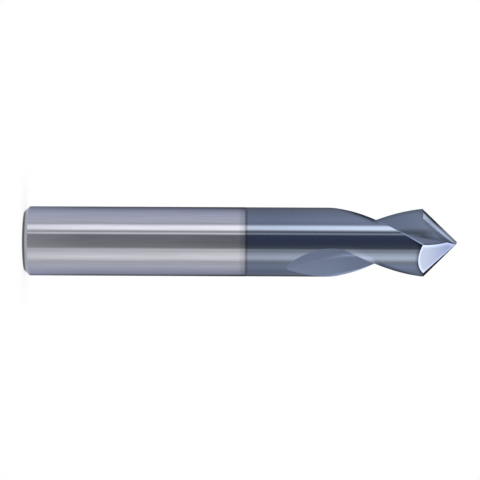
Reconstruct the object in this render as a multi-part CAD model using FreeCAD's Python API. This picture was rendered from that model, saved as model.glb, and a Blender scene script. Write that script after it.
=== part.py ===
import FreeCAD, Part
import math
import os
from FreeCAD import Placement, Rotation, Vector

# A two-flute spotting drill, ground from one round bar. It stands on the flat end of its shank at
# the origin, its axis is +Z with the point up, and its two cutting lips run parallel to X. It cuts
# when it turns about +Z by the right-hand rule. Sizes are in millimetres and degrees.

# Bar
diameter = 12.0              # of the shank, and of the body at the cutting corners
overall_length = 75.0
shank_length = 38.3          # end face to the start of the coated body
shank_chamfer = 0.9
back_taper = 0.08            # loss of the body's diameter over each 100 mm towards the shank

# Point, ground with four flat facets
point_angle = 90.0
primary_relief = 12.0        # slope of the narrow facet behind the lip
primary_span = 16.3          # turn from the lip to the far edge of the narrow facet
secondary_relief = 41.0      # slope of the broad facet behind it
lip_lead = 0.15              # distance of each lip ahead of the axis

# Flutes, in section square to the axis
web_radius = 1.5             # distance of the flute's root from the axis, at the cutting corner
web_taper = 0.047            # growth of that distance for each millimetre towards the shank
rake_curve_radius = 6.75     # hollow of the cutting side
root_curve_radius = 0.8      # fillet between the cutting side and the heel wall
heel_curve_angle = 37.0      # lean of the heel wall where it leaves the root
heel_curve_radius = 9.6      # bulge of the heel wall

# Flutes, along the axis
helix_angle = 28.0
flute_length = 18.7          # point to the start of the run-out
runout_angle = 23.8          # climb of the flute's root out of the bar
runout_blend = 2.4           # size of the curve into that climb
twist_fade = 7.3             # length over which the twist dies out
station_pitch = 0.75         # spacing of the sections that shape a flute

# Gashes that thin the web and flatten the cutting side of each lip
gash_rake = 3.0              # lean of the flat under the lip
gash_angle = 40.0            # run of the gash's root, from the axis
gash_depth = 0.78            # depth of that root at the axis, below the point
gash_opening = 127.5         # turn from the lip to the gash's other wall

# Derived sizes
radius = diameter / 2
lip_slope = 1 / math.tan(math.radians(point_angle / 2))
corner_height = overall_length - radius * lip_slope
runout_height = overall_length - flute_length
runout_web = web_radius + web_taper * (corner_height - runout_height)
runout_slope = math.tan(math.radians(runout_angle))
twist_rate = math.degrees(math.tan(math.radians(helix_angle)) / radius)
rake_centre = web_radius + rake_curve_radius
rake_cosine = (radius**2 + rake_centre**2 - rake_curve_radius**2) / (2 * radius * rake_centre)
corner_turn = math.degrees(math.asin(lip_lead / radius) + math.acos(rake_cosine))
seam_turn = (corner_turn - 180) / 2


def polar(length, angle):
    """Vector of a length at an angle from X, square to the axis."""
    return Rotation(Vector(0, 0, 1), angle).multVec(Vector(length, 0, 0))


def half_space(point, normal):
    """Block that fills everything near the part on the normal's side of a plane."""
    size = 2 * overall_length
    block = Part.makeBox(size, size, size, Vector(-size / 2, -size / 2, 0))
    block.Placement = Placement(point, Rotation(Vector(0, 0, 1), normal))
    return block


def blank():
    """Turned bar with its end chamfer and tapered body, and its seam in the middle of a land."""
    taper = back_taper / 100 / 2
    neck_radius = radius - taper * (corner_height - shank_length)
    top_radius = radius + taper * (overall_length - corner_height)
    profile = [
        Vector(0, 0, 0),
        Vector(radius - shank_chamfer, 0, 0),
        Vector(radius, 0, shank_chamfer),
        Vector(radius, 0, shank_length),
        Vector(neck_radius, 0, shank_length),
        Vector(top_radius, 0, overall_length),
        Vector(0, 0, overall_length),
    ]
    outline = Part.Face(Part.makePolygon(profile + profile[:1]))
    bar = outline.revolve(Vector(0, 0, 0), Vector(0, 0, 1), 360)
    return bar.rotated(Vector(0, 0, 0), Vector(0, 0, 1), seam_turn)


def twin(solid):
    """The same cut for the other flute, half a turn away."""
    return solid.rotated(Vector(0, 0, 0), Vector(0, 0, 1), 180)


def web_at(height):
    """Distance of the flute's root from the axis, which climbs out of the bar in the run-out."""
    below = max(runout_height - height, 0)
    climb = runout_slope * (math.hypot(below, runout_blend) - runout_blend)
    return web_radius + web_taper * (corner_height - max(height, runout_height)) + climb


def turn_at(height):
    """Direction of the flute's root about the axis, on a helix that straightens in the run-out."""
    faded = min(max(runout_height - height, 0) / twist_fade, 1)
    helix_height = max(height, runout_height) - corner_height
    return corner_turn + twist_rate * (helix_height - twist_fade * (faded - faded**2 / 2))


def flute_section(height):
    """Outline of the grinding profile at one height, closed outside the bar."""
    root = Vector(web_at(height), 0, 0)
    rake_middle = root + Vector(rake_curve_radius, 0, 0)
    root_middle = root + Vector(root_curve_radius, 0, 0)
    rake_arc = Part.Arc(
        rake_middle - Vector(0, rake_curve_radius, 0),
        rake_middle + polar(rake_curve_radius, 225),
        root,
    )
    heel_start = root_middle + polar(root_curve_radius, 180 - heel_curve_angle)
    root_arc = Part.Arc(
        root,
        root_middle + polar(root_curve_radius, 180 - heel_curve_angle / 2),
        heel_start,
    )
    heel_middle = heel_start - polar(heel_curve_radius, -heel_curve_angle)
    heel_top = heel_middle + Vector(heel_curve_radius, 0, 0)
    heel_arc = Part.Arc(
        heel_start,
        heel_middle + polar(heel_curve_radius, -heel_curve_angle / 2),
        heel_top,
    )
    heel_end = heel_top + Vector(0, diameter, 0)
    heel_line = Part.LineSegment(heel_top, heel_end)
    closing = Part.LineSegment(heel_end, rake_middle - Vector(0, rake_curve_radius, 0))
    edges = [curve.toShape() for curve in (rake_arc, root_arc, heel_arc, heel_line, closing)]
    outline = Part.Wire(edges)
    outline.Placement = Placement(Vector(0, 0, height), Rotation(Vector(0, 0, 1), turn_at(height)))
    return outline


def flute():
    """Solid that one grinding pass takes away, from beyond the point to where it leaves the bar."""
    climb = (radius + station_pitch - runout_web) / runout_slope + runout_blend
    bottom = runout_height - math.sqrt(climb**2 - runout_blend**2)
    top = overall_length + station_pitch
    count = math.ceil((top - bottom) / station_pitch)
    heights = [bottom + (top - bottom) * step / count for step in range(count + 1)]
    return Part.makeLoft([flute_section(height) for height in heights], True, False)


def facets():
    """Half spaces above the narrow and the broad facet behind one lip."""
    tip = Vector(0, 0, overall_length)
    relief = math.tan(math.radians(primary_relief))
    broad_relief = math.tan(math.radians(secondary_relief))
    broad_slope = lip_slope - (broad_relief - relief) * math.tan(math.radians(primary_span))
    narrow = half_space(tip, Vector(lip_slope, -relief, 1))
    broad = half_space(tip, Vector(broad_slope, -broad_relief, 1))
    return [narrow, broad]


def gash():
    """Notch with a flat under the lip and a wall across the web."""
    lean = math.tan(math.radians(gash_rake))
    flat = half_space(Vector(0, lip_lead, overall_length), Vector(-lip_slope * lean, 1, -lean))
    sine = math.sin(math.radians(gash_angle))
    cosine = math.cos(math.radians(gash_angle))
    along_root = Vector(sine, lean * (lip_slope * sine - cosine), -cosine)
    root_start = Vector(0, lip_lead - lean * gash_depth, overall_length - gash_depth)
    wall = half_space(root_start, along_root.cross(polar(1, gash_opening)))
    return flat.common(wall)


def drill():
    """The whole drill: the turned bar less its flutes, gashes and facets."""
    cuts = [flute(), gash()] + facets()
    return blank().cut(cuts + [twin(cut) for cut in cuts]).removeSplitter()


os.makedirs("parts", exist_ok=True)
drill().exportStep("parts/spotting_drill.step")
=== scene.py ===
import math

import bpy
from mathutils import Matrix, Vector


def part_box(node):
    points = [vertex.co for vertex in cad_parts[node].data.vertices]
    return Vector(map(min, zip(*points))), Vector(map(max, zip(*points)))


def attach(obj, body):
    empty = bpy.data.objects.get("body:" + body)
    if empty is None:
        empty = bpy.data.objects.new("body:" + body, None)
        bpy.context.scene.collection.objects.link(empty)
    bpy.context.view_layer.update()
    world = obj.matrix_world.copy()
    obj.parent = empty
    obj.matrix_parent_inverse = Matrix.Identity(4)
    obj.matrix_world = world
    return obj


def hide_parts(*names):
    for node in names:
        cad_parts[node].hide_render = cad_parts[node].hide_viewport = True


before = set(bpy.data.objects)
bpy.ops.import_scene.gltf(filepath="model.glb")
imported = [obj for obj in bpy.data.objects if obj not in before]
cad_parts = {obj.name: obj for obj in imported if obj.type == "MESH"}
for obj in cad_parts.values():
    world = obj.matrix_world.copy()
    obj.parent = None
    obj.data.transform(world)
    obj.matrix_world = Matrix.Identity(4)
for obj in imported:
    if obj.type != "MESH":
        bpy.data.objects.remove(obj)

bl_info = {
    "name": "Spotting Drill",
    "version": (1, 0, 0),
    "blender": (4, 5, 0),
    "location": "3D View > Sidebar > Spotting Drill",
    "description": "Grinds a coated two-flute spotting drill and sets up its photograph",
    "category": "Object",
}

NODE = "spotting_drill"
CAD_LOW, CAD_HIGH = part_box(NODE)
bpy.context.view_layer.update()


def linear(code):
    """Linear colour of an sRGB hex value."""
    parts = [int(code[start:start + 2], 16) / 255 for start in (1, 3, 5)]
    return [part / 12.92 if part <= 0.04045 else ((part + 0.055) / 1.055) ** 2.4 for part in parts]


# Sizes and colours

class DrillSizes(bpy.types.PropertyGroup):
    diameter: bpy.props.FloatProperty(
        name="Diameter", description="Shank, and body at the cutting corners",
        default=CAD_HIGH[0] - CAD_LOW[0], unit="LENGTH")
    length: bpy.props.FloatProperty(
        name="Length", description="End face to point",
        default=CAD_HIGH[2] - CAD_LOW[2], unit="LENGTH")
    shank_length: bpy.props.FloatProperty(
        name="Shank length", description="End face to the start of the coated body",
        default=0.0383, unit="LENGTH")
    shank_chamfer: bpy.props.FloatProperty(
        name="Shank chamfer", description="Chamfer round the end face",
        default=0.0009, unit="LENGTH")
    back_taper: bpy.props.FloatProperty(
        name="Back taper", description="Loss of the body's diameter for each unit of length",
        default=0.0008)
    point_angle: bpy.props.FloatProperty(
        name="Point angle", description="Angle between the two cutting lips",
        default=math.radians(90), subtype="ANGLE")
    primary_relief: bpy.props.FloatProperty(
        name="Primary relief", description="Slope of the narrow facet behind each lip",
        default=math.radians(12), subtype="ANGLE")
    primary_span: bpy.props.FloatProperty(
        name="Primary span", description="Turn from the lip to the far edge of the narrow facet",
        default=math.radians(16.3), subtype="ANGLE")
    secondary_relief: bpy.props.FloatProperty(
        name="Secondary relief", description="Slope of the broad facet",
        default=math.radians(41), subtype="ANGLE")
    lip_lead: bpy.props.FloatProperty(
        name="Lip lead", description="Distance of each lip ahead of the axis",
        default=0.00015, unit="LENGTH")
    web_radius: bpy.props.FloatProperty(
        name="Web radius", description="Distance of the flute's root from the axis at the corners",
        default=0.0015, unit="LENGTH")
    web_taper: bpy.props.FloatProperty(
        name="Web taper", description="Growth of that distance for each unit of length",
        default=0.047)
    rake_radius: bpy.props.FloatProperty(
        name="Rake curve radius", description="Hollow of the flute's cutting side",
        default=0.00675, unit="LENGTH")
    root_radius: bpy.props.FloatProperty(
        name="Root curve radius", description="Fillet at the root of the flute",
        default=0.0008, unit="LENGTH")
    heel_radius: bpy.props.FloatProperty(
        name="Heel curve radius", description="Bulge of the flute's heel wall",
        default=0.0096, unit="LENGTH")
    heel_angle: bpy.props.FloatProperty(
        name="Heel curve angle", description="Lean of the heel wall where it leaves the root",
        default=math.radians(37), subtype="ANGLE")
    helix_angle: bpy.props.FloatProperty(
        name="Helix angle", description="Slope of the flutes round the body",
        default=math.radians(28), subtype="ANGLE")
    flute_length: bpy.props.FloatProperty(
        name="Flute length", description="Point to the start of the run-out",
        default=0.0187, unit="LENGTH")
    runout_angle: bpy.props.FloatProperty(
        name="Run-out angle", description="Climb of the flute's root out of the bar",
        default=math.radians(23.8), subtype="ANGLE")
    runout_blend: bpy.props.FloatProperty(
        name="Run-out blend", description="Size of the curve into that climb",
        default=0.0024, unit="LENGTH")
    twist_fade: bpy.props.FloatProperty(
        name="Twist fade", description="Length over which the twist dies out",
        default=0.0073, unit="LENGTH")
    gash_rake: bpy.props.FloatProperty(
        name="Gash rake", description="Lean of the flat under each lip",
        default=math.radians(3), subtype="ANGLE")
    gash_angle: bpy.props.FloatProperty(
        name="Gash angle", description="Run of the gash's root from the axis",
        default=math.radians(40), subtype="ANGLE")
    gash_depth: bpy.props.FloatProperty(
        name="Gash depth", description="Depth of that root at the axis, below the point",
        default=0.00078, unit="LENGTH")
    gash_opening: bpy.props.FloatProperty(
        name="Gash opening", description="Turn from the lip to the gash's other wall",
        default=math.radians(127.5), subtype="ANGLE")


class DrillFinish(bpy.types.PropertyGroup):
    carbide: bpy.props.FloatVectorProperty(
        name="Carbide", description="Colour of the bare ground shank",
        default=linear("#c6c9d5"), size=3, subtype="COLOR")
    coating: bpy.props.FloatVectorProperty(
        name="Coating", description="Colour of the hard coating on the body",
        default=linear("#8590a3"), size=3, subtype="COLOR")
    flute: bpy.props.FloatVectorProperty(
        name="Flute", description="Colour of the coating on the duller ground flutes",
        default=linear("#6f7c95"), size=3, subtype="COLOR")
    facet_low: bpy.props.FloatVectorProperty(
        name="Facet at the corner", description="Colour of the coating on the point's facets, by the body",
        default=linear("#9098aa"), size=3, subtype="COLOR")
    # Darker than the colour by the body; the facets change from one to the other with height
    facet_high: bpy.props.FloatVectorProperty(
        name="Facet at the tip", description="Colour of the thicker coating near the tip",
        default=linear("#737b98"), size=3, subtype="COLOR")


class DrillStudio(bpy.types.PropertyGroup):
    distance: bpy.props.FloatProperty(
        name="Camera distance", description="Camera to the drill's axis",
        default=0.4156, unit="LENGTH")
    focal_length: bpy.props.FloatProperty(
        name="Focal length", description="Lens of the camera, in millimetres",
        default=179.8, unit="CAMERA")
    aim_height: bpy.props.FloatProperty(
        name="Aim height", description="Height on the drill that the camera looks at",
        default=0.03733, unit="LENGTH")
    aim_side: bpy.props.FloatProperty(
        name="Aim side", description="Distance of the aim from the axis, to the picture's top",
        default=0.00031, unit="LENGTH")
    roll: bpy.props.FloatProperty(
        name="Roll", description="Turn of the camera about its own view",
        default=math.radians(0.268), subtype="ANGLE")
    lip_turn: bpy.props.FloatProperty(
        name="Lip turn", description="Turn from the cutting lips to the picture's upright",
        default=math.radians(13), subtype="ANGLE")


# Nodes

def add(tree, kind, inputs=(), **settings):
    """A node with its settings, and its inputs set to values or linked to other nodes' sockets."""
    node = tree.nodes.new(kind)
    for name, value in settings.items():
        setattr(node, name, value)
    for key, value in (inputs.items() if isinstance(inputs, dict) else enumerate(inputs)):
        for item in value if isinstance(value, list) else [value]:
            if isinstance(item, bpy.types.NodeSocket):
                tree.links.new(item, node.inputs[key])
            else:
                node.inputs[key].default_value = item
    return node.outputs[0] if len(node.outputs) else node


def new_material(name):
    """An empty node material, its tree and its output's surface socket."""
    material = bpy.data.materials.new(name)
    material.use_nodes = True
    tree = material.node_tree
    tree.nodes.clear()
    tree.nodes.new("ShaderNodeOutputMaterial")
    return material, tree, tree.nodes[0].inputs["Surface"]


# Finishes

# Spans of height over which a finish changes, from the end face up
# painted shade on the chamfer, darkest below this span at its rim by the floor
CHAMFER_PAINTED_SHADE = (0.00033, 0.0005)
HAZE = (0.0371, 0.0376)             # faint heat tint of the shank, near the coating
STAIN = (0.0379, 0.0383)            # darker tint, up to the coating
COATING_START = (0.0384, 0.03875)   # thin dark line where the coating starts
RUNOUT = (0.052, 0.057)             # where the painted lines along the flutes' edges fade in
ROOT_SHADE_SPAN = (0.056, 0.062)          # where the painted shade in the flutes' roots comes in
WAIST = (0.0600, 0.0615)            # narrowest place of the outline, as the photo shows it
SHOULDER = (0.0660, 0.0685)         # upper end of the lands
BELOW_CORNER = (0.0681, 0.0690)
ABOVE_CORNER = (0.0690, 0.0710)
LIP_MIDDLE = (0.0712, 0.0730)
FACETS = (0.0690, 0.0732)           # from the cutting corners nearly to the tip

# Scales of the grain along X, Y and Z
LINES_ROUND = (30, 30, 5000)        # lines round the bar, 0.2 mm apart
STREAKS_ALONG = (2500, 2500, 110)   # streaks along the bar, 0.4 mm apart and 9 mm long

BEVEL_SAMPLES = 8
RELIEF_SHADE = 0.4                  # of the tip's colour, on the narrow facets


def height(tree):
    """Height on the drill above its end face."""
    split = tree.nodes.new("ShaderNodeSeparateXYZ")
    tree.links.new(tree.nodes.new("ShaderNodeTexCoord").outputs["Object"], split.inputs[0])
    return split.outputs["Z"]


def over_height(tree, span, below, above):
    """A value that changes over a span of height, from the one below it to the one above it."""
    return add(tree, "ShaderNodeMapRange", {
        "Value": height(tree), "From Min": span[0], "From Max": span[1], "To Min": below, "To Max": above})


def reach(tree):
    """Distance from the drill's axis."""
    place = tree.nodes.new("ShaderNodeTexCoord").outputs["Object"]
    across = add(tree, "ShaderNodeVectorMath", [place, (1, 1, 0)], operation="MULTIPLY")
    return add(tree, "ShaderNodeVectorMath", [across], operation="LENGTH").node.outputs["Value"]


def grain(tree, scale):
    """Grinding lines: noise drawn out along the wheel's path, with a scale along each axis."""
    place = tree.nodes.new("ShaderNodeTexCoord").outputs["Object"]
    lines = add(tree, "ShaderNodeMapping", {"Vector": place, "Scale": scale})
    return add(tree, "ShaderNodeTexNoise", {"Vector": lines, "Scale": 1.0, "Detail": 3.0})


def near_edge(tree, rounded):
    """How near a sharp edge is, from 0 to 1, by how far a bevel's normal is from the true one."""
    true = tree.nodes.new("ShaderNodeNewGeometry").outputs["Normal"]
    apart = add(tree, "ShaderNodeVectorMath", [rounded, true], operation="DISTANCE").node.outputs["Value"]
    near = add(tree, "ShaderNodeMapRange", {"Value": apart, "From Min": 0.03, "From Max": 0.2})
    sharp = over_height(tree, RUNOUT, 0.0, 1.0)
    return add(tree, "ShaderNodeMath", [near, sharp], operation="MULTIPLY")


def by_side(tree, rounded, heel, cutting):
    """One value beside a heel, another beside a cutting edge, by the way a bevel's normal turns there."""
    place = tree.nodes.new("ShaderNodeTexCoord").outputs["Object"]
    about = tree.nodes.new("ShaderNodeSeparateXYZ")
    moment = add(tree, "ShaderNodeVectorMath", [place, rounded], operation="CROSS_PRODUCT")
    tree.links.new(moment, about.inputs[0])
    return add(tree, "ShaderNodeMapRange", {
        "Value": about.outputs["Z"], "From Min": -0.0004, "From Max": 0.0004,
        "To Min": heel, "To Max": cutting})


def toned(tree, colour, *tones):
    """A colour times each tone, a number that a node gives."""
    for tone in tones:
        colour = add(tree, "ShaderNodeVectorMath", {0: colour, "Scale": tone}, operation="SCALE")
    return colour


def ground_carbide(finish):
    """Tungsten carbide, cylindrically ground: a bright hard grey with fine lines round the shank."""
    material, tree, surface = new_material("tungsten_carbide_ground")
    # Grit leaves lines a few thousandths of a millimetre apart, drawn here 0.2 mm apart
    lines = grain(tree, LINES_ROUND)
    rough = add(tree, "ShaderNodeMapRange", {"Value": lines, "To Min": 0.07, "To Max": 0.10})
    bump = add(tree, "ShaderNodeBump", {"Strength": 0.05, "Distance": 0.00002, "Height": lines})
    # Heat and overspray from the coating's edge tint the last millimetre of the shank
    haze = over_height(tree, HAZE, 1.0, 0.82)
    stain = over_height(tree, STAIN, 1.0, 0.55)
    # Sliding in and out of holders leaves faint streaks along the shank
    streak = add(tree, "ShaderNodeMapRange", {
        "Value": grain(tree, STREAKS_ALONG), "From Min": 0.3, "From Max": 0.7,
        "To Min": 0.95, "To Max": 1.05})
    shader = add(tree, "ShaderNodeBsdfPrincipled", {
        "Base Color": toned(tree, finish.carbide, haze, stain, streak), "Metallic": 1.0,
        "Roughness": rough, "Normal": bump})
    tree.links.new(shader, surface)
    return material


def ground_chamfer(finish):
    """The same carbide on the end chamfer, which a coarse wheel leaves duller, with painted shade that is
    darkest at its rim by the floor.
    """
    material, tree, surface = new_material("tungsten_carbide_chamfer")
    # Painted shade: the chamfer mirrors the shaded floor at its foot
    painted_rim_shade = over_height(tree, CHAMFER_PAINTED_SHADE, 0.2, 0.72)
    shader = add(tree, "ShaderNodeBsdfPrincipled", {
        "Base Color": toned(tree, finish.carbide, painted_rim_shade), "Metallic": 1.0, "Roughness": 0.45})
    tree.links.new(shader, surface)
    return material


def coated_land(finish):
    """Titanium aluminium nitride, vapour deposited over the ground bar: a glossy violet grey."""
    material, tree, surface = new_material("nitride_coating_on_ground_body")
    # The same lines round the body as on the shank, also drawn 0.2 mm apart
    lines = grain(tree, LINES_ROUND)
    rough = add(tree, "ShaderNodeMapRange", {"Value": lines, "To Min": 0.07, "To Max": 0.09})
    start = over_height(tree, COATING_START, 0.58, 1.0)
    # Painted highlights and painted shade along the edges: dark at the heels below the waist and by the
    # corners, and at the cutting edges light below the waist and dark above it
    rounded = add(tree, "ShaderNodeBevel", {
        "Radius": over_height(tree, WAIST, 0.0018, 0.0013)}, samples=BEVEL_SAMPLES)
    corner = over_height(tree, SHOULDER, 0.0, -0.75)
    heel = over_height(tree, WAIST, -0.9, corner)
    margin = over_height(tree, WAIST, 0.3, -0.65)
    painted_edge_tone = by_side(tree, rounded, heel, margin)
    edge = add(tree, "ShaderNodeMath", [near_edge(tree, rounded), painted_edge_tone, 1.0], operation="MULTIPLY_ADD")
    shader = add(tree, "ShaderNodeBsdfPrincipled", {
        "Base Color": toned(tree, finish.coating, start, edge), "Metallic": 1.0, "Roughness": rough})
    tree.links.new(shader, surface)
    return material


def coated_flute(finish):
    """The same coating over a flute, which a coarser wheel leaves satin."""
    material, tree, surface = new_material("nitride_coating_on_ground_flute")
    # Painted highlight along the heel up to the cutting corner, painted shade along the cutting edge
    rounded = add(tree, "ShaderNodeBevel", {"Radius": 0.0012}, samples=BEVEL_SAMPLES)
    heel = over_height(tree, BELOW_CORNER, 1.6, -0.5)
    painted_edge_tone = by_side(tree, rounded, heel, -0.3)
    edge = add(tree, "ShaderNodeMath", [near_edge(tree, rounded), painted_edge_tone, 1.0], operation="MULTIPLY_ADD")
    # Painted shade deep in the root, where less light reaches
    tip = over_height(tree, ABOVE_CORNER, 0.42, 0.8)
    painted_root_shade = over_height(tree, ROOT_SHADE_SPAN, 1.0, tip)
    root = add(tree, "ShaderNodeMapRange", {
        "Value": reach(tree), "From Min": 0.0018, "From Max": 0.0026, "To Min": painted_root_shade, "To Max": 1.0})
    shader = add(tree, "ShaderNodeBsdfPrincipled", {
        "Base Color": toned(tree, finish.flute, edge, root), "Metallic": 0.4, "Roughness": 0.5})
    tree.links.new(shader, surface)
    return material


def coated_gash(finish):
    """The same coating on the fine-ground flat under each lip, with painted shade along the lip itself and
    a painted highlight further below it.
    """
    material, tree, surface = new_material("nitride_coating_on_ground_lip")
    # Distance below the lip, which falls as fast as it goes outwards at a point of 90 degrees
    top = add(tree, "ShaderNodeMath", [CAD_HIGH[2], height(tree)], operation="SUBTRACT")
    below = add(tree, "ShaderNodeMath", [top, reach(tree)], operation="SUBTRACT")
    # Painted shade along the lip
    painted_lip_shade = over_height(tree, LIP_MIDDLE, 0.05, 0.4)
    lip = add(tree, "ShaderNodeMapRange", {
        "Value": below, "From Min": 0.00035, "From Max": 0.0007, "To Min": painted_lip_shade, "To Max": 0.9})
    # Painted highlight on the flat further below the lip
    hollow = add(tree, "ShaderNodeMapRange", {
        "Value": below, "From Min": 0.0007, "From Max": 0.0010, "To Min": 1.0, "To Max": 1.4})
    shader = add(tree, "ShaderNodeBsdfPrincipled", {
        "Base Color": toned(tree, finish.coating, lip, hollow), "Metallic": 1.0, "Roughness": 0.2})
    tree.links.new(shader, surface)
    return material


def coated_facet(finish):
    """The same coating over the point's broad ground facets, with painted highlights along their edges."""
    material, tree, surface = new_material("nitride_coating_on_ground_facet")
    # The facets' colour darkens towards the tip
    along = over_height(tree, FACETS, 0.0, 1.0)
    change = Vector(finish.facet_high) - Vector(finish.facet_low)
    colour = add(tree, "ShaderNodeVectorMath", [along, change, finish.facet_low], operation="MULTIPLY_ADD")
    # Painted highlight along the facets' edges
    rounded = add(tree, "ShaderNodeBevel", {"Radius": 0.0010}, samples=BEVEL_SAMPLES)
    bright = add(tree, "ShaderNodeMath", [near_edge(tree, rounded), 0.6, 1.0], operation="MULTIPLY_ADD")
    shader = add(tree, "ShaderNodeBsdfPrincipled", {
        "Base Color": toned(tree, colour, bright), "Metallic": 1.0, "Roughness": 0.25})
    tree.links.new(shader, surface)
    return material


def coated_relief(finish):
    """The same coating on the narrow facet behind each lip, coloured dark at a fraction of the tip's
    colour.
    """
    material, tree, surface = new_material("nitride_coating_on_ground_relief")
    colour = [RELIEF_SHADE * part for part in finish.facet_high]
    shader = add(tree, "ShaderNodeBsdfPrincipled", {
        "Base Color": (*colour, 1.0), "Metallic": 1.0, "Roughness": 0.15,
        "Specular Tint": (0.5, 0.5, 0.5, 1.0)})
    tree.links.new(shader, surface)
    return material


# Drill

SEGMENTS = 256          # round the bar
RING = 0.00075          # spacing of the bar's rings along the coated body
LEDGE = 0.00001         # height of the step from the shank to the coated body
STATION = 0.00025       # spacing of the flute's sections
RUNOUT_REACH = 0.0122   # from the start of the run-out to below the place where the flute ends
RAKE_POINTS = 40        # of the arcs in the wheel's profile
ROOT_POINTS = 8
HEEL_POINTS = 24
WELD = 0.000001         # distance at which the profile's ends become one point
BLOCK = 0.2             # size of the blocks that cut the point
BAR, FLUTE, GASH, FACET, RELIEF = range(5)   # the grinding pass that made a face


def turned_bar(sizes):
    """Mesh of the turned bar: end chamfer, shank, and a coated body with a slight back taper."""
    radius = sizes.diameter / 2
    corner = sizes.length - radius / math.tan(sizes.point_angle / 2)
    taper = sizes.back_taper / 2
    rings = [(radius - sizes.shank_chamfer, 0), (radius, sizes.shank_chamfer), (radius, sizes.shank_length)]
    count = math.ceil((sizes.length - sizes.shank_length) / RING)
    for index in range(count + 1):
        level = sizes.shank_length + LEDGE + (sizes.length - sizes.shank_length - LEDGE) * index / count
        rings.append((radius - taper * (corner - level), level))
    turns = [math.tau * turn / SEGMENTS for turn in range(SEGMENTS)]
    points = [
        (size * math.cos(turn), size * math.sin(turn), level)
        for size, level in rings for turn in turns
    ]
    faces = [tuple(reversed(range(SEGMENTS))), tuple(range(len(points) - SEGMENTS, len(points)))]
    for low in range(0, len(points) - SEGMENTS, SEGMENTS):
        for turn in range(SEGMENTS):
            after = (turn + 1) % SEGMENTS
            faces.append((low + turn, low + after, low + after + SEGMENTS, low + turn + SEGMENTS))
    mesh = bpy.data.meshes.new("turned_bar")
    mesh.from_pydata(points, [], faces)
    mesh.shade_smooth()
    mesh.set_sharp_from_angle(angle=math.radians(20))
    return mesh


def grinding_inputs(sizes):
    """Values of the grinding tree's inputs, by name, worked out from the drill's sizes."""
    radius = sizes.diameter / 2
    slope = 1 / math.tan(sizes.point_angle / 2)
    corner = sizes.length - radius * slope
    centre = sizes.web_radius + sizes.rake_radius
    cosine = (radius ** 2 + centre ** 2 - sizes.rake_radius ** 2) / (2 * radius * centre)
    relief = math.tan(sizes.primary_relief)
    broad_relief = math.tan(sizes.secondary_relief)
    broad_slope = slope - (broad_relief - relief) * math.tan(sizes.primary_span)
    lean = math.tan(sizes.gash_rake)
    gash_sine = math.sin(sizes.gash_angle)
    gash_cosine = math.cos(sizes.gash_angle)
    along_root = Vector((gash_sine, lean * (slope * gash_sine - gash_cosine), -gash_cosine))
    across = Vector((math.cos(sizes.gash_opening), math.sin(sizes.gash_opening), 0))
    wall_side = sizes.lip_lead - lean * sizes.gash_depth
    return {
        "Length": sizes.length,
        "Web radius": sizes.web_radius,
        "Web taper": sizes.web_taper,
        "Rake curve radius": sizes.rake_radius,
        "Root curve radius": sizes.root_radius,
        "Heel curve radius": sizes.heel_radius,
        "Heel curve angle": sizes.heel_angle,
        "Wheel height": sizes.diameter,
        "Corner height": corner,
        "Corner turn": math.asin(sizes.lip_lead / radius) + math.acos(cosine),
        "Twist rate": math.tan(sizes.helix_angle) / radius,
        "Twist fade": sizes.twist_fade,
        "Run-out height": sizes.length - sizes.flute_length,
        "Run-out slope": math.tan(sizes.runout_angle),
        "Run-out blend": sizes.runout_blend,
        "Narrow facet": Vector((slope, -relief, 1)),
        "Broad facet": Vector((broad_slope, -broad_relief, 1)),
        "Gash flat": Vector((-slope * lean, 1, -lean)),
        "Gash flat place": Vector((0, sizes.lip_lead, sizes.length)),
        "Gash wall": along_root.cross(across),
        "Gash wall place": Vector((0, wall_side, sizes.length - sizes.gash_depth)),
    }


def marked(tree, geometry, mark, side):
    """Geometry that carries its pass of grinding and, in each corner, the finished surface's normal."""
    normal = add(tree, "GeometryNodeInputNormal")
    facing = add(tree, "ShaderNodeVectorMath", {0: normal, "Scale": side}, operation="SCALE")
    stored = add(tree, "GeometryNodeStoreNamedAttribute", {
        "Geometry": geometry, "Name": "facing", "Value": facing}, data_type="FLOAT_VECTOR", domain="CORNER")
    return add(tree, "GeometryNodeStoreNamedAttribute", {
        "Geometry": stored, "Name": "pass", "Value": mark}, data_type="INT", domain="FACE")


def plane_cut(tree, place, normal):
    """Block that fills everything near the drill on one side of a plane."""
    block = add(tree, "GeometryNodeMeshCube", {"Size": (BLOCK, BLOCK, BLOCK)})
    lifted = add(tree, "GeometryNodeTransform", {"Geometry": block, "Translation": (0, 0, BLOCK / 2)})
    turn = add(tree, "FunctionNodeAlignRotationToVector", {"Vector": normal}, axis="Z")
    return add(tree, "GeometryNodeTransform", {"Geometry": lifted, "Translation": place, "Rotation": turn})


def level_of(tree):
    """Height of the geometry at hand above the end face."""
    split = tree.nodes.new("ShaderNodeSeparateXYZ")
    tree.links.new(add(tree, "GeometryNodeInputPosition"), split.inputs[0])
    return split.outputs["Z"]


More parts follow.
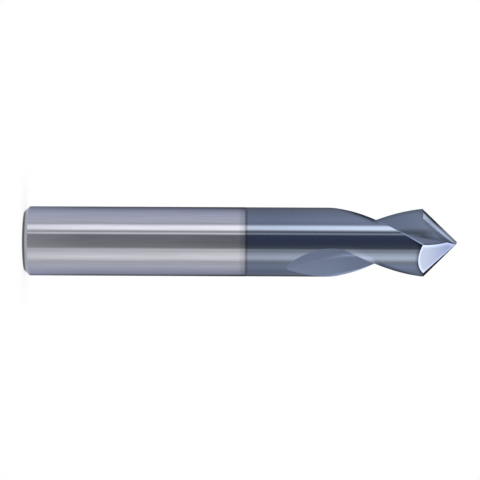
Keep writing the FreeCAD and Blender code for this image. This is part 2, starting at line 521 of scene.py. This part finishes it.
def wheel_profile(tree, given):
    """Curve of the wheel's profile, with the flute's root at x = 0: cutting side, root and heel wall."""
    rake = add(tree, "GeometryNodeCurveArc", {
        "Resolution": RAKE_POINTS, "Radius": given["Rake curve radius"],
        "Start Angle": math.pi, "Sweep Angle": math.pi / 2})
    rake_place = add(tree, "ShaderNodeCombineXYZ", {"X": given["Rake curve radius"]})
    rake = add(tree, "GeometryNodeTransform", {"Geometry": rake, "Translation": rake_place})

    root_start = add(tree, "ShaderNodeMath", [math.pi, given["Heel curve angle"]], operation="SUBTRACT")
    root = add(tree, "GeometryNodeCurveArc", {
        "Resolution": ROOT_POINTS, "Radius": given["Root curve radius"],
        "Start Angle": root_start, "Sweep Angle": given["Heel curve angle"]})
    root_middle = add(tree, "ShaderNodeCombineXYZ", {"X": given["Root curve radius"]})
    root = add(tree, "GeometryNodeTransform", {"Geometry": root, "Translation": root_middle})

    lean = add(tree, "ShaderNodeMath", [given["Heel curve angle"], -1.0], operation="MULTIPLY")
    radii = add(tree, "ShaderNodeMath", [
        given["Heel curve radius"], given["Root curve radius"]], operation="ADD")
    inward = add(tree, "ShaderNodeCombineXYZ", {"X": radii})
    inward = add(tree, "ShaderNodeVectorRotate", {"Vector": inward, "Angle": lean}, rotation_type="Z_AXIS")
    heel_middle = add(tree, "ShaderNodeVectorMath", [root_middle, inward], operation="SUBTRACT")
    heel = add(tree, "GeometryNodeCurveArc", {
        "Resolution": HEEL_POINTS, "Radius": given["Heel curve radius"],
        "Start Angle": lean, "Sweep Angle": given["Heel curve angle"]})
    heel = add(tree, "GeometryNodeTransform", {"Geometry": heel, "Translation": heel_middle})

    # Two straight lines close the profile outside the bar
    heel_reach = add(tree, "ShaderNodeCombineXYZ", {"X": given["Heel curve radius"]})
    heel_top = add(tree, "ShaderNodeVectorMath", [heel_middle, heel_reach], operation="ADD")
    wheel_height = add(tree, "ShaderNodeCombineXYZ", {"Y": given["Wheel height"]})
    heel_end = add(tree, "ShaderNodeVectorMath", [heel_top, wheel_height], operation="ADD")
    depth = add(tree, "ShaderNodeMath", [given["Rake curve radius"], -1.0], operation="MULTIPLY")
    rake_start = add(tree, "ShaderNodeCombineXYZ", {"X": given["Rake curve radius"], "Y": depth})
    wall = add(tree, "GeometryNodeCurvePrimitiveLine", {"Start": heel_top, "End": heel_end})
    closing = add(tree, "GeometryNodeCurvePrimitiveLine", {"Start": heel_end, "End": rake_start})

    lines = add(tree, "GeometryNodeJoinGeometry", {0: [rake, root, heel, wall, closing]})
    edges = add(tree, "GeometryNodeCurveToMesh", {"Curve": lines})
    joined = add(tree, "GeometryNodeMergeByDistance", {"Geometry": edges, "Distance": WELD})
    return add(tree, "GeometryNodeMeshToCurve", {"Mesh": joined})


def straight_pass(tree, given, sizes):
    """The wheel's profile drawn straight up along the axis, from below the flute to above the point."""
    bottom = sizes.length - sizes.flute_length - RUNOUT_REACH
    stations = math.ceil((sizes.length + RING - bottom) / STATION)
    top = add(tree, "ShaderNodeCombineXYZ", {
        "Z": add(tree, "ShaderNodeMath", [given["Length"], RING], operation="ADD")})
    path = add(tree, "GeometryNodeCurvePrimitiveLine", {"Start": (0, 0, bottom), "End": top})
    path = add(tree, "GeometryNodeResampleCurve", {"Curve": path, "Count": stations})
    path = add(tree, "GeometryNodeSetCurveNormal", {"Curve": path}, mode="Z_UP")
    drawn = add(tree, "GeometryNodeCurveToMesh", {
        "Curve": path, "Profile Curve": wheel_profile(tree, given), "Fill Caps": True})
    return add(tree, "GeometryNodeFlipFaces", {"Mesh": drawn})


def flute_pass(tree, given, sizes):
    """Solid that one flute's pass takes away: it climbs out of the bar and turns round the axis."""
    level = level_of(tree)
    fluted = add(tree, "ShaderNodeMath", [level, given["Run-out height"]], operation="MAXIMUM")
    from_corner = add(tree, "ShaderNodeMath", [fluted, given["Corner height"]], operation="SUBTRACT")
    below = add(tree, "ShaderNodeMath", [fluted, level], operation="SUBTRACT")

    # Distance of the root from the axis
    blend = given["Run-out blend"]
    blend_square = add(tree, "ShaderNodeMath", [blend, blend], operation="MULTIPLY")
    squares = add(tree, "ShaderNodeMath", [below, below, blend_square], operation="MULTIPLY_ADD")
    slant = add(tree, "ShaderNodeMath", [squares], operation="SQRT")
    curved = add(tree, "ShaderNodeMath", [slant, blend], operation="SUBTRACT")
    climb = add(tree, "ShaderNodeMath", [
        curved, given["Run-out slope"], given["Web radius"]], operation="MULTIPLY_ADD")
    thinning = add(tree, "ShaderNodeMath", [from_corner, given["Web taper"]], operation="MULTIPLY")
    web = add(tree, "ShaderNodeMath", [climb, thinning], operation="SUBTRACT")

    # Turn of the root about the axis, which fades out in the run-out
    faded = add(tree, "ShaderNodeMath", [below, given["Twist fade"]], operation="DIVIDE", use_clamp=True)
    half = add(tree, "ShaderNodeMath", [faded, -0.5, 1.0], operation="MULTIPLY_ADD")
    turned = add(tree, "ShaderNodeMath", [faded, half], operation="MULTIPLY")
    lost = add(tree, "ShaderNodeMath", [turned, given["Twist fade"]], operation="MULTIPLY")
    helix = add(tree, "ShaderNodeMath", [from_corner, lost], operation="SUBTRACT")
    turn = add(tree, "ShaderNodeMath", [
        helix, given["Twist rate"], given["Corner turn"]], operation="MULTIPLY_ADD")

    outward = add(tree, "ShaderNodeCombineXYZ", {"X": web})
    place = add(tree, "GeometryNodeInputPosition")
    moved = add(tree, "ShaderNodeVectorMath", [place, outward], operation="ADD")
    spun = add(tree, "ShaderNodeVectorRotate", {"Vector": moved, "Angle": turn}, rotation_type="Z_AXIS")
    flute = add(tree, "GeometryNodeSetPosition", {
        "Geometry": straight_pass(tree, given, sizes), "Position": spun})
    flute = add(tree, "GeometryNodeTriangulate", {"Mesh": flute})
    return add(tree, "GeometryNodeSetShadeSmooth", {"Geometry": flute}, domain="FACE")


def ground_bar(tree, given, sizes):
    """The bar less its flutes, the narrow and broad facets of its point, and the gashes under the lips."""
    tip = add(tree, "ShaderNodeCombineXYZ", {"Z": given["Length"]})
    narrow = plane_cut(tree, tip, given["Narrow facet"])
    broad = plane_cut(tree, tip, given["Broad facet"])
    flat = plane_cut(tree, given["Gash flat place"], given["Gash flat"])
    wall = plane_cut(tree, given["Gash wall place"], given["Gash wall"])
    gash = add(tree, "GeometryNodeMeshBoolean", {
        "Mesh 2": [flat, wall]}, operation="INTERSECT", solver="EXACT")
    flute = flute_pass(tree, given, sizes)
    cuts = []
    for cut, mark in ((flute, FLUTE), (narrow, RELIEF), (broad, FACET), (gash, GASH)):
        twin = add(tree, "GeometryNodeTransform", {"Geometry": cut, "Rotation": (0, 0, math.pi)})
        cuts += [marked(tree, cut, mark, -1.0), marked(tree, twin, mark, -1.0)]
    bar = marked(tree, given["Geometry"], BAR, 1.0)
    return add(tree, "GeometryNodeMeshBoolean", {
        "Mesh 1": bar, "Mesh 2": cuts}, operation="DIFFERENCE", solver="EXACT")


def grinding_tree(sizes, values, finishes):
    """Geometry nodes that grind the flutes and the point into a bar and give each surface its finish."""
    tree = bpy.data.node_groups.new("ground_flutes_and_point", "GeometryNodeTree")
    tree.interface.new_socket("Geometry", in_out="INPUT", socket_type="NodeSocketGeometry")
    tree.interface.new_socket("Geometry", in_out="OUTPUT", socket_type="NodeSocketGeometry")
    for name, value in values.items():
        kind = "NodeSocketVector" if isinstance(value, Vector) else "NodeSocketFloat"
        tree.interface.new_socket(name, in_out="INPUT", socket_type=kind)
    given = tree.nodes.new("NodeGroupInput").outputs
    drill = add(tree, "GeometryNodeRealizeInstances", {"Geometry": ground_bar(tree, given, sizes)})

    # Finishes: bare shank, chamfer, coated body, and the coated cuts
    level = level_of(tree)
    passed = add(tree, "GeometryNodeInputNamedAttribute", {"Name": "pass"}, data_type="INT")
    everything = add(tree, "FunctionNodeCompare", {
        2: passed, 3: BAR}, data_type="INT", operation="GREATER_EQUAL")
    chamfered = add(tree, "FunctionNodeCompare", {0: level, 1: sizes.shank_chamfer}, operation="LESS_THAN")
    coated = add(tree, "FunctionNodeCompare", {0: level, 1: sizes.shank_length}, operation="GREATER_THAN")
    cuts = [
        add(tree, "FunctionNodeCompare", {2: passed, 3: mark}, data_type="INT", operation="EQUAL")
        for mark in (FLUTE, GASH, FACET, RELIEF)
    ]
    for where, finish in zip((everything, chamfered, coated, *cuts), finishes):
        drill = add(tree, "GeometryNodeSetMaterial", {
            "Geometry": drill, "Selection": where, "Material": finish})
    output = tree.nodes.new("NodeGroupOutput")
    tree.links.new(drill, output.inputs[0])
    return tree


class DRILL_OT_grind(bpy.types.Operator):
    """Turns the bar, grinds its flutes and point, and gives each surface its finish"""
    bl_idname = "drill.grind"
    bl_label = "Grind the drill"

    def execute(self, context):
        sizes = context.scene.drill_sizes
        finish = context.scene.drill_finish
        finishes = [make(finish) for make in (
            ground_carbide, ground_chamfer, coated_land, coated_flute, coated_gash, coated_facet,
            coated_relief)]
        values = grinding_inputs(sizes)
        blank = bpy.data.objects.new("blank", turned_bar(sizes))
        context.collection.objects.link(blank)
        modifier = blank.modifiers.new("grinding", "NODES")
        modifier.node_group = grinding_tree(sizes, values, finishes)
        for item in modifier.node_group.interface.items_tree:
            if item.in_out == "INPUT" and item.name in values:
                modifier[item.identifier] = values[item.name]
        ready = blank.evaluated_get(context.evaluated_depsgraph_get())
        mesh = bpy.data.meshes.new_from_object(ready)
        if "facing" not in mesh.attributes or len(mesh.polygons) < SEGMENTS:
            raise RuntimeError("the grinding left no drill")
        facing = [Vector(item.vector).normalized() for item in mesh.attributes["facing"].data]
        mesh.attributes.remove(mesh.attributes["facing"])
        mesh.shade_smooth()
        mesh.normals_split_custom_set(facing)
        bpy.data.objects.remove(blank)
        drill = bpy.data.objects.new("coated_drill", mesh)
        context.collection.objects.link(drill)
        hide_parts(NODE)
        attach(drill, "root")
        return {"FINISHED"}


# Stage

# Light that the metal mirrors, by the angle in degrees from the camera towards the picture's top. The
# first number is for the surround that the shank mirrors, the second for those that the body mirrors.
SURROUND = [
    (-180, 0.03, 0.03), (-158, 0.11, 0.14), (-148, 0.14, 0.17), (-138, 0.345, 0.36), (-118, 0.44, 0.39),
    (-91, 0.61, 0.57), (-74, 0.58, 0.52), (-69, 0.595, 0.58), (-61, 0.865, 1.03), (-54, 0.99, 1.29),
    (-43, 0.87, 1.02), (-37, 0.77, 0.85), (-33, 0.70, 0.60), (-29, 0.72, 0.68), (-26, 0.72, 0.63),
    (-22, 0.355, 0.22), (-17, 0.27, 0.17), (-11, 0.25, 0.14), (0, 0.224, 0.118), (18, 0.20, 0.10),
    (21.5, 0.205, 0.105), (24, 0.485, 0.30), (26.3, 0.99, 0.82), (29, 0.645, 0.60), (33, 0.34, 0.16),
    (36, 0.62, 0.45), (39, 1.12, 1.19), (43, 1.33, 2.1), (52, 1.28, 2.06), (57, 0.82, 1.06),
    (61, 0.515, 0.47), (68, 0.61, 0.54), (80, 0.61, 0.57), (95, 0.575, 0.515), (104, 0.535, 0.475),
    (120, 0.435, 0.415), (136, 0.275, 0.31), (148, 0.155, 0.25), (158, 0.12, 0.14), (180, 0.03, 0.03),
]
SHANK_LIGHT, BODY_LIGHT = 1, 2     # columns of the table
EVEN_GLOW = 0.6                    # light to which a surround evens out at its ends
BACK_GLOW = 0.8                    # light behind the drill, where a surround closes
LAMP_TINT = (1.03, 1.0, 0.97)      # the studio's lamps, in front of the drill
SHADE_TINT = (0.94, 1.0, 1.25)     # its blue shade, behind the drill and in the dark gap in front
SHADE_MIDDLE = -10                 # angle at which the lamps' side has its middle
GAP_MIDDLE = 20                    # angle at which the dark gap is bluest
GAP_WIDTH = 60                     # from there to the angle at which its blue ends
GAP_LIGHT = 0.4                    # light above which there is no gap
LIFT_MIDDLE = 5                    # angle about which a row's lift is left out
LIFT_FROM, LIFT_TO = 25, 40        # turn from there at which the lift starts and is full
RING_STEPS = 720                   # round each surround


def held(value):
    """A value held between 0 and 1."""
    return min(max(value, 0), 1)


def table_light(angle, column):
    """Light in the table at an angle, between its two nearest lines."""
    index = max(i for i in range(len(SURROUND) - 1) if SURROUND[i][0] <= angle)
    before = SURROUND[index]
    after = SURROUND[index + 1]
    share = (angle - before[0]) / (after[0] - before[0])
    return before[column] * (1 - share) + after[column] * share


def tinted(level, angle, behind, gap):
    """Colour of a level of light at an angle.

    Behind gives the turn from the lamps' middle at which the blue shade starts, the turn at which it
    is full, and its strength. Gap is its strength in the dark gap in front.
    """
    start, full, strength = behind
    shade = held((abs(angle - SHADE_MIDDLE) - start) / (full - start)) * strength
    shade += max(1 - level / GAP_LIGHT, 0) * max(1 - abs(angle - GAP_MIDDLE) / GAP_WIDTH, 0) * gap
    return [level * (lamp + (blue - lamp) * shade) for lamp, blue in zip(LAMP_TINT, SHADE_TINT)]


def sheet(name, points, faces, material):
    """Object of bare faces in one material."""
    mesh = bpy.data.meshes.new(name)
    mesh.from_pydata(points, [], faces)
    mesh.materials.append(material)
    thing = bpy.data.objects.new(name, mesh)
    bpy.context.collection.objects.link(thing)
    return thing


def mirrored_only(thing):
    """Leaves a thing to be seen in reflections alone."""
    thing.visible_camera = False
    thing.visible_diffuse = False
    thing.visible_shadow = False
    thing.visible_transmission = False


def surround(name, column, behind, gap, radius, rows, mirror_radius, facing_camera):
    """Ring of light round the drill, seen only in its reflections.

    Each row is a height, how far the light there is evened out, and by how much it is lifted away from
    the front. A point of the drill mirrors the ring from its own place, off the axis, so each angle
    moves by that much. Behind the drill the ring runs on until its ends meet.
    """
    hidden = math.degrees(math.asin(mirror_radius / radius))
    points, faces, glow = [], [], []
    for step in range(RING_STEPS + 1):
        angle = (360 + 2 * hidden) * step / RING_STEPS - 180 - hidden
        near = min(max(angle, -180), 180)
        light = table_light(near, column)
        light += (BACK_GLOW - light) * abs(angle - near) / hidden
        shift = math.asin(mirror_radius / radius * math.sin(math.radians(near) / 2))
        bearing = facing_camera - math.radians(angle) + shift
        for level, evened, lift in rows:
            points.append((radius * math.cos(bearing), radius * math.sin(bearing), level))
            lit = light * (1 - evened) + EVEN_GLOW * evened
            lit *= 1 + lift * held((abs(angle - LIFT_MIDDLE) - LIFT_FROM) / (LIFT_TO - LIFT_FROM))
            glow += tinted(lit, angle, behind, gap) + [1]
    for step in range(RING_STEPS):
        for row in range(len(rows) - 1):
            start = step * len(rows) + row
            faces.append((start, start + len(rows), start + len(rows) + 1, start + 1))
    material, tree, surface = new_material("lit_paper_" + name)
    colour = add(tree, "ShaderNodeAttribute", attribute_name="glow")
    light = add(tree, "ShaderNodeEmission", {"Color": colour, "Strength": 1.0})
    tree.links.new(light, surface)
    ring = sheet(name, points, faces, material)
    ring.data.attributes.new("glow", "FLOAT_COLOR", "POINT").data.foreach_set("color", glow)
    mirrored_only(ring)


def backdrop_share(tree):
    """1 for what the camera, a mirror or glass sees, 0 for light that falls on a surface."""
    path = tree.nodes.new("ShaderNodeLightPath").outputs
    seen = add(tree, "ShaderNodeMath", [path["Is Camera Ray"], path["Is Glossy Ray"]], operation="ADD")
    return add(tree, "ShaderNodeMath", [seen, path["Is Transmission Ray"]], operation="ADD", use_clamp=True)


def white_floor():
    """Matt white paper, which turns to the backdrop's plain white away from the drill."""
    half = 3
    material, tree, surface = new_material("white_paper_floor")
    paper = add(tree, "ShaderNodeBsdfDiffuse", {"Color": (*linear("#f2f2f2"), 1)})
    white = add(tree, "ShaderNodeEmission", {"Strength": 1.0})
    place = tree.nodes.new("ShaderNodeTexCoord").outputs["Object"]
    away = add(tree, "ShaderNodeVectorMath", [place], operation="LENGTH").node.outputs["Value"]
    plain = add(tree, "ShaderNodeMapRange", {
        "Value": away, "From Min": 0.006, "From Max": 0.013, "To Min": 0.8, "To Max": 0.985},
        interpolation_type="SMOOTHSTEP")
    share = add(tree, "ShaderNodeMath", [backdrop_share(tree), plain], operation="MULTIPLY")
    mixed = add(tree, "ShaderNodeMixShader", {0: share, 1: paper, 2: white})
    tree.links.new(mixed, surface)
    corners = [(-half, -half, 0), (half, -half, 0), (half, half, 0), (-half, half, 0)]
    floor = sheet("floor", corners, [(0, 1, 2, 3)], material)


def surrounds(sizes, to_camera):
    """The three surrounds: round the shank, round the body, and further off for what faces upwards."""
    radius = sizes.diameter / 2
    surround(
        "low_surround", SHANK_LIGHT, behind=(50, 140, 1.0), gap=0.6, radius=0.0115,
        rows=[(0.0002, 0.28, 0), (0.01, 0.05, 0), (0.026, 0, 0), (sizes.shank_length, -0.12, 0)],
        mirror_radius=radius, facing_camera=to_camera)
    surround(
        "middle_surround", BODY_LIGHT, behind=(61, 72, 0.65), gap=3.3, radius=0.02,
        rows=[(0.0002, 0, 0), (0.043, 0, 0), (0.052, 0, 0.13), (0.062, 0, 0.22), (0.0705, 0, 0.22)],
        mirror_radius=radius, facing_camera=to_camera)
    surround(
        "far_surround", BODY_LIGHT, behind=(61, 72, 0.65), gap=3.3, radius=0.9,
        rows=[(0.0005, 0, 0), (0.5, 0.05, 0), (1.3, 1.0, 0)],
        mirror_radius=radius, facing_camera=to_camera)


def lip_card(back, up):
    """Card in front, which the flat under the upper lip mirrors."""
    turn = math.radians(20)
    distance = 0.3
    level = 0.066
    half_width = 0.06
    half_height = 0.055
    toward = back * math.cos(turn) + up * math.sin(turn)
    side = toward.cross(Vector((0, 0, 1)))
    middle = toward * distance + Vector((0, 0, level))
    corners = [
        middle + side * across * half_width + Vector((0, 0, rise * half_height))
        for across, rise in ((-1, -1), (1, -1), (1, 1), (-1, 1))
    ]
    material, tree, surface = new_material("lit_card")
    tree.links.new(add(tree, "ShaderNodeEmission", {"Strength": 1.9}), surface)
    card = sheet("lip_card", corners, [(0, 1, 2, 3)], material)
    mirrored_only(card)


def softbox(sizes, back, up):
    """Softbox over the lower side of the picture, which the broad facet mirrors."""
    distance = 0.9
    lamp = bpy.data.lights.new("overhead_softbox", "AREA")
    lamp.shape = "DISK"
    lamp.size = 0.5
    lamp.energy = 0.75
    box = bpy.data.objects.new("overhead_softbox", lamp)
    bpy.context.collection.objects.link(box)
    # The broad facet mirrors the camera in this direction
    toward = (-0.505 * up - 0.122 * back + Vector((0, 0, 0.854))).normalized()
    body_middle = (sizes.length + sizes.shank_length) / 2
    box.location = toward * distance + Vector((0, 0, body_middle))
    box.rotation_euler = toward.to_track_quat("Z", "Y").to_euler()


def backdrop(scene):
    """Plain white world behind the floor's end."""
    world = bpy.data.worlds.new("white_backdrop")
    scene.world = world
    world.use_nodes = True
    tree = world.node_tree
    tree.nodes.clear()
    sky = add(tree, "ShaderNodeBackground", {"Color": (1, 1, 1, 1), "Strength": 1.0})
    tree.links.new(sky, tree.nodes.new("ShaderNodeOutputWorld").inputs["Surface"])


def camera_eye(scene, studio, back, up):
    """Camera in front of the drill, turned so that the drill's tip points right."""
    camera = bpy.data.cameras.new("camera")
    camera.lens = studio.focal_length
    camera.sensor_width = 36
    eye = bpy.data.objects.new("camera", camera)
    bpy.context.collection.objects.link(eye)
    aim = up * studio.aim_side + Vector((0, 0, studio.aim_height))
    right = Vector((0, 0, 1)) * math.cos(studio.roll) + up * math.sin(studio.roll)
    upright = back.cross(right)
    turn = eye.matrix_world.copy()
    for column, axis in enumerate((right, upright, back, aim + back * studio.distance)):
        for row in range(3):
            turn[row][column] = axis[row]
    eye.matrix_world = turn
    scene.camera = eye


class DRILL_OT_stage(bpy.types.Operator):
    """Lays the white floor, lights the drill and points the camera as in the photograph"""
    bl_idname = "drill.stage"
    bl_label = "Set the stage"

    def execute(self, context):
        scene = context.scene
        sizes = scene.drill_sizes
        studio = scene.drill_studio
        to_camera = studio.lip_turn - math.pi / 2
        back = Vector((math.cos(to_camera), math.sin(to_camera), 0))
        up = back.cross(Vector((0, 0, 1)))
        white_floor()
        surrounds(sizes, to_camera)
        lip_card(back, up)
        softbox(sizes, back, up)
        backdrop(scene)
        camera_eye(scene, studio, back, up)
        scene.view_settings.view_transform = "Standard"
        return {"FINISHED"}


class DRILL_PT_panel(bpy.types.Panel):
    """Sizes, colours and steps of the spotting drill"""
    bl_label = "Spotting Drill"
    bl_idname = "DRILL_PT_panel"
    bl_space_type = "VIEW_3D"
    bl_region_type = "UI"
    bl_category = "Spotting Drill"

    def draw(self, context):
        for group in (context.scene.drill_sizes, context.scene.drill_finish, context.scene.drill_studio):
            column = self.layout.column()
            for name in group.bl_rna.properties.keys():
                if name not in ("rna_type", "name"):
                    column.prop(group, name)
        self.layout.operator(DRILL_OT_grind.bl_idname)
        self.layout.operator(DRILL_OT_stage.bl_idname)


CLASSES = (DrillSizes, DrillFinish, DrillStudio, DRILL_OT_grind, DRILL_OT_stage, DRILL_PT_panel)


def register():
    for item in CLASSES:
        bpy.utils.register_class(item)
    bpy.types.Scene.drill_sizes = bpy.props.PointerProperty(type=DrillSizes)
    bpy.types.Scene.drill_finish = bpy.props.PointerProperty(type=DrillFinish)
    bpy.types.Scene.drill_studio = bpy.props.PointerProperty(type=DrillStudio)


def unregister():
    del bpy.types.Scene.drill_studio
    del bpy.types.Scene.drill_finish
    del bpy.types.Scene.drill_sizes
    for item in reversed(CLASSES):
        bpy.utils.unregister_class(item)


def main():
    """Makes the drill and its stage."""
    register()
    bpy.ops.drill.grind()
    bpy.ops.drill.stage()
    bpy.context.view_layer.update()


if __name__ == "__main__":
    main()
